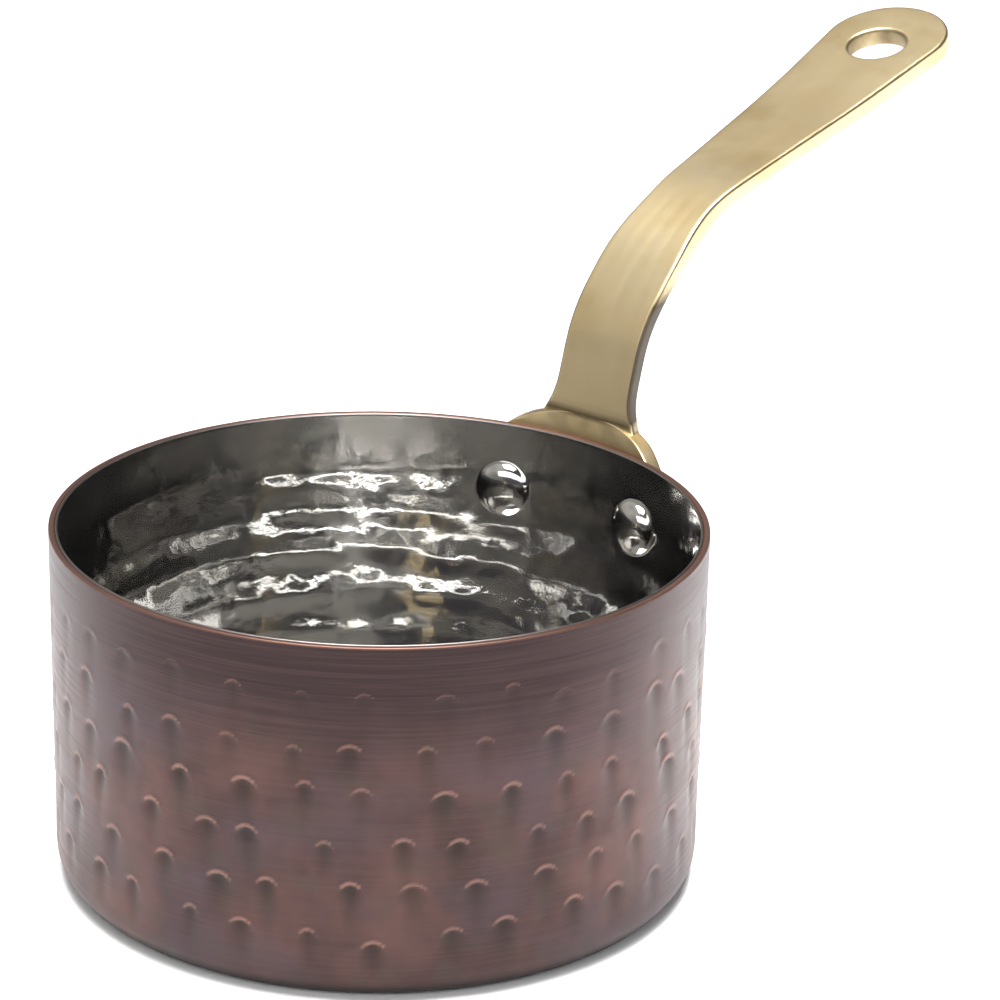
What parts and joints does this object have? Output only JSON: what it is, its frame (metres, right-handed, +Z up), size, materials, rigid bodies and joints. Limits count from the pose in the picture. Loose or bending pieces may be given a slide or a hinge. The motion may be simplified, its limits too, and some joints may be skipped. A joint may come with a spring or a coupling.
{
  "type": "small copper coffee pot",
  "caption": "Small straight-sided copper coffee pot with a hammered wall, a polished steel lining and a long riveted brass stick handle with a hanging hole.",
  "frame": {"origin": "centre of the flat underside, on the surface that the pot stands on", "axes": "+Z up, +X from the pot's middle towards the handle, +Y to the left of someone who holds the handle and faces the pot"},
  "size_m": [0.1741, 0.09, 0.0993],
  "materials": {
    "antique_copper": "satin",
    "polished_steel": "polished",
    "cast_brass": "satin",
    "rivet_steel": "polished"
  },
  "bodies": {
    "root": {"copper_shell": "antique_copper", "steel_lining": "polished_steel", "handle": "cast_brass", "rivet_left": "rivet_steel", "rivet_right": "rivet_steel"}
  },
  "joints": []
}
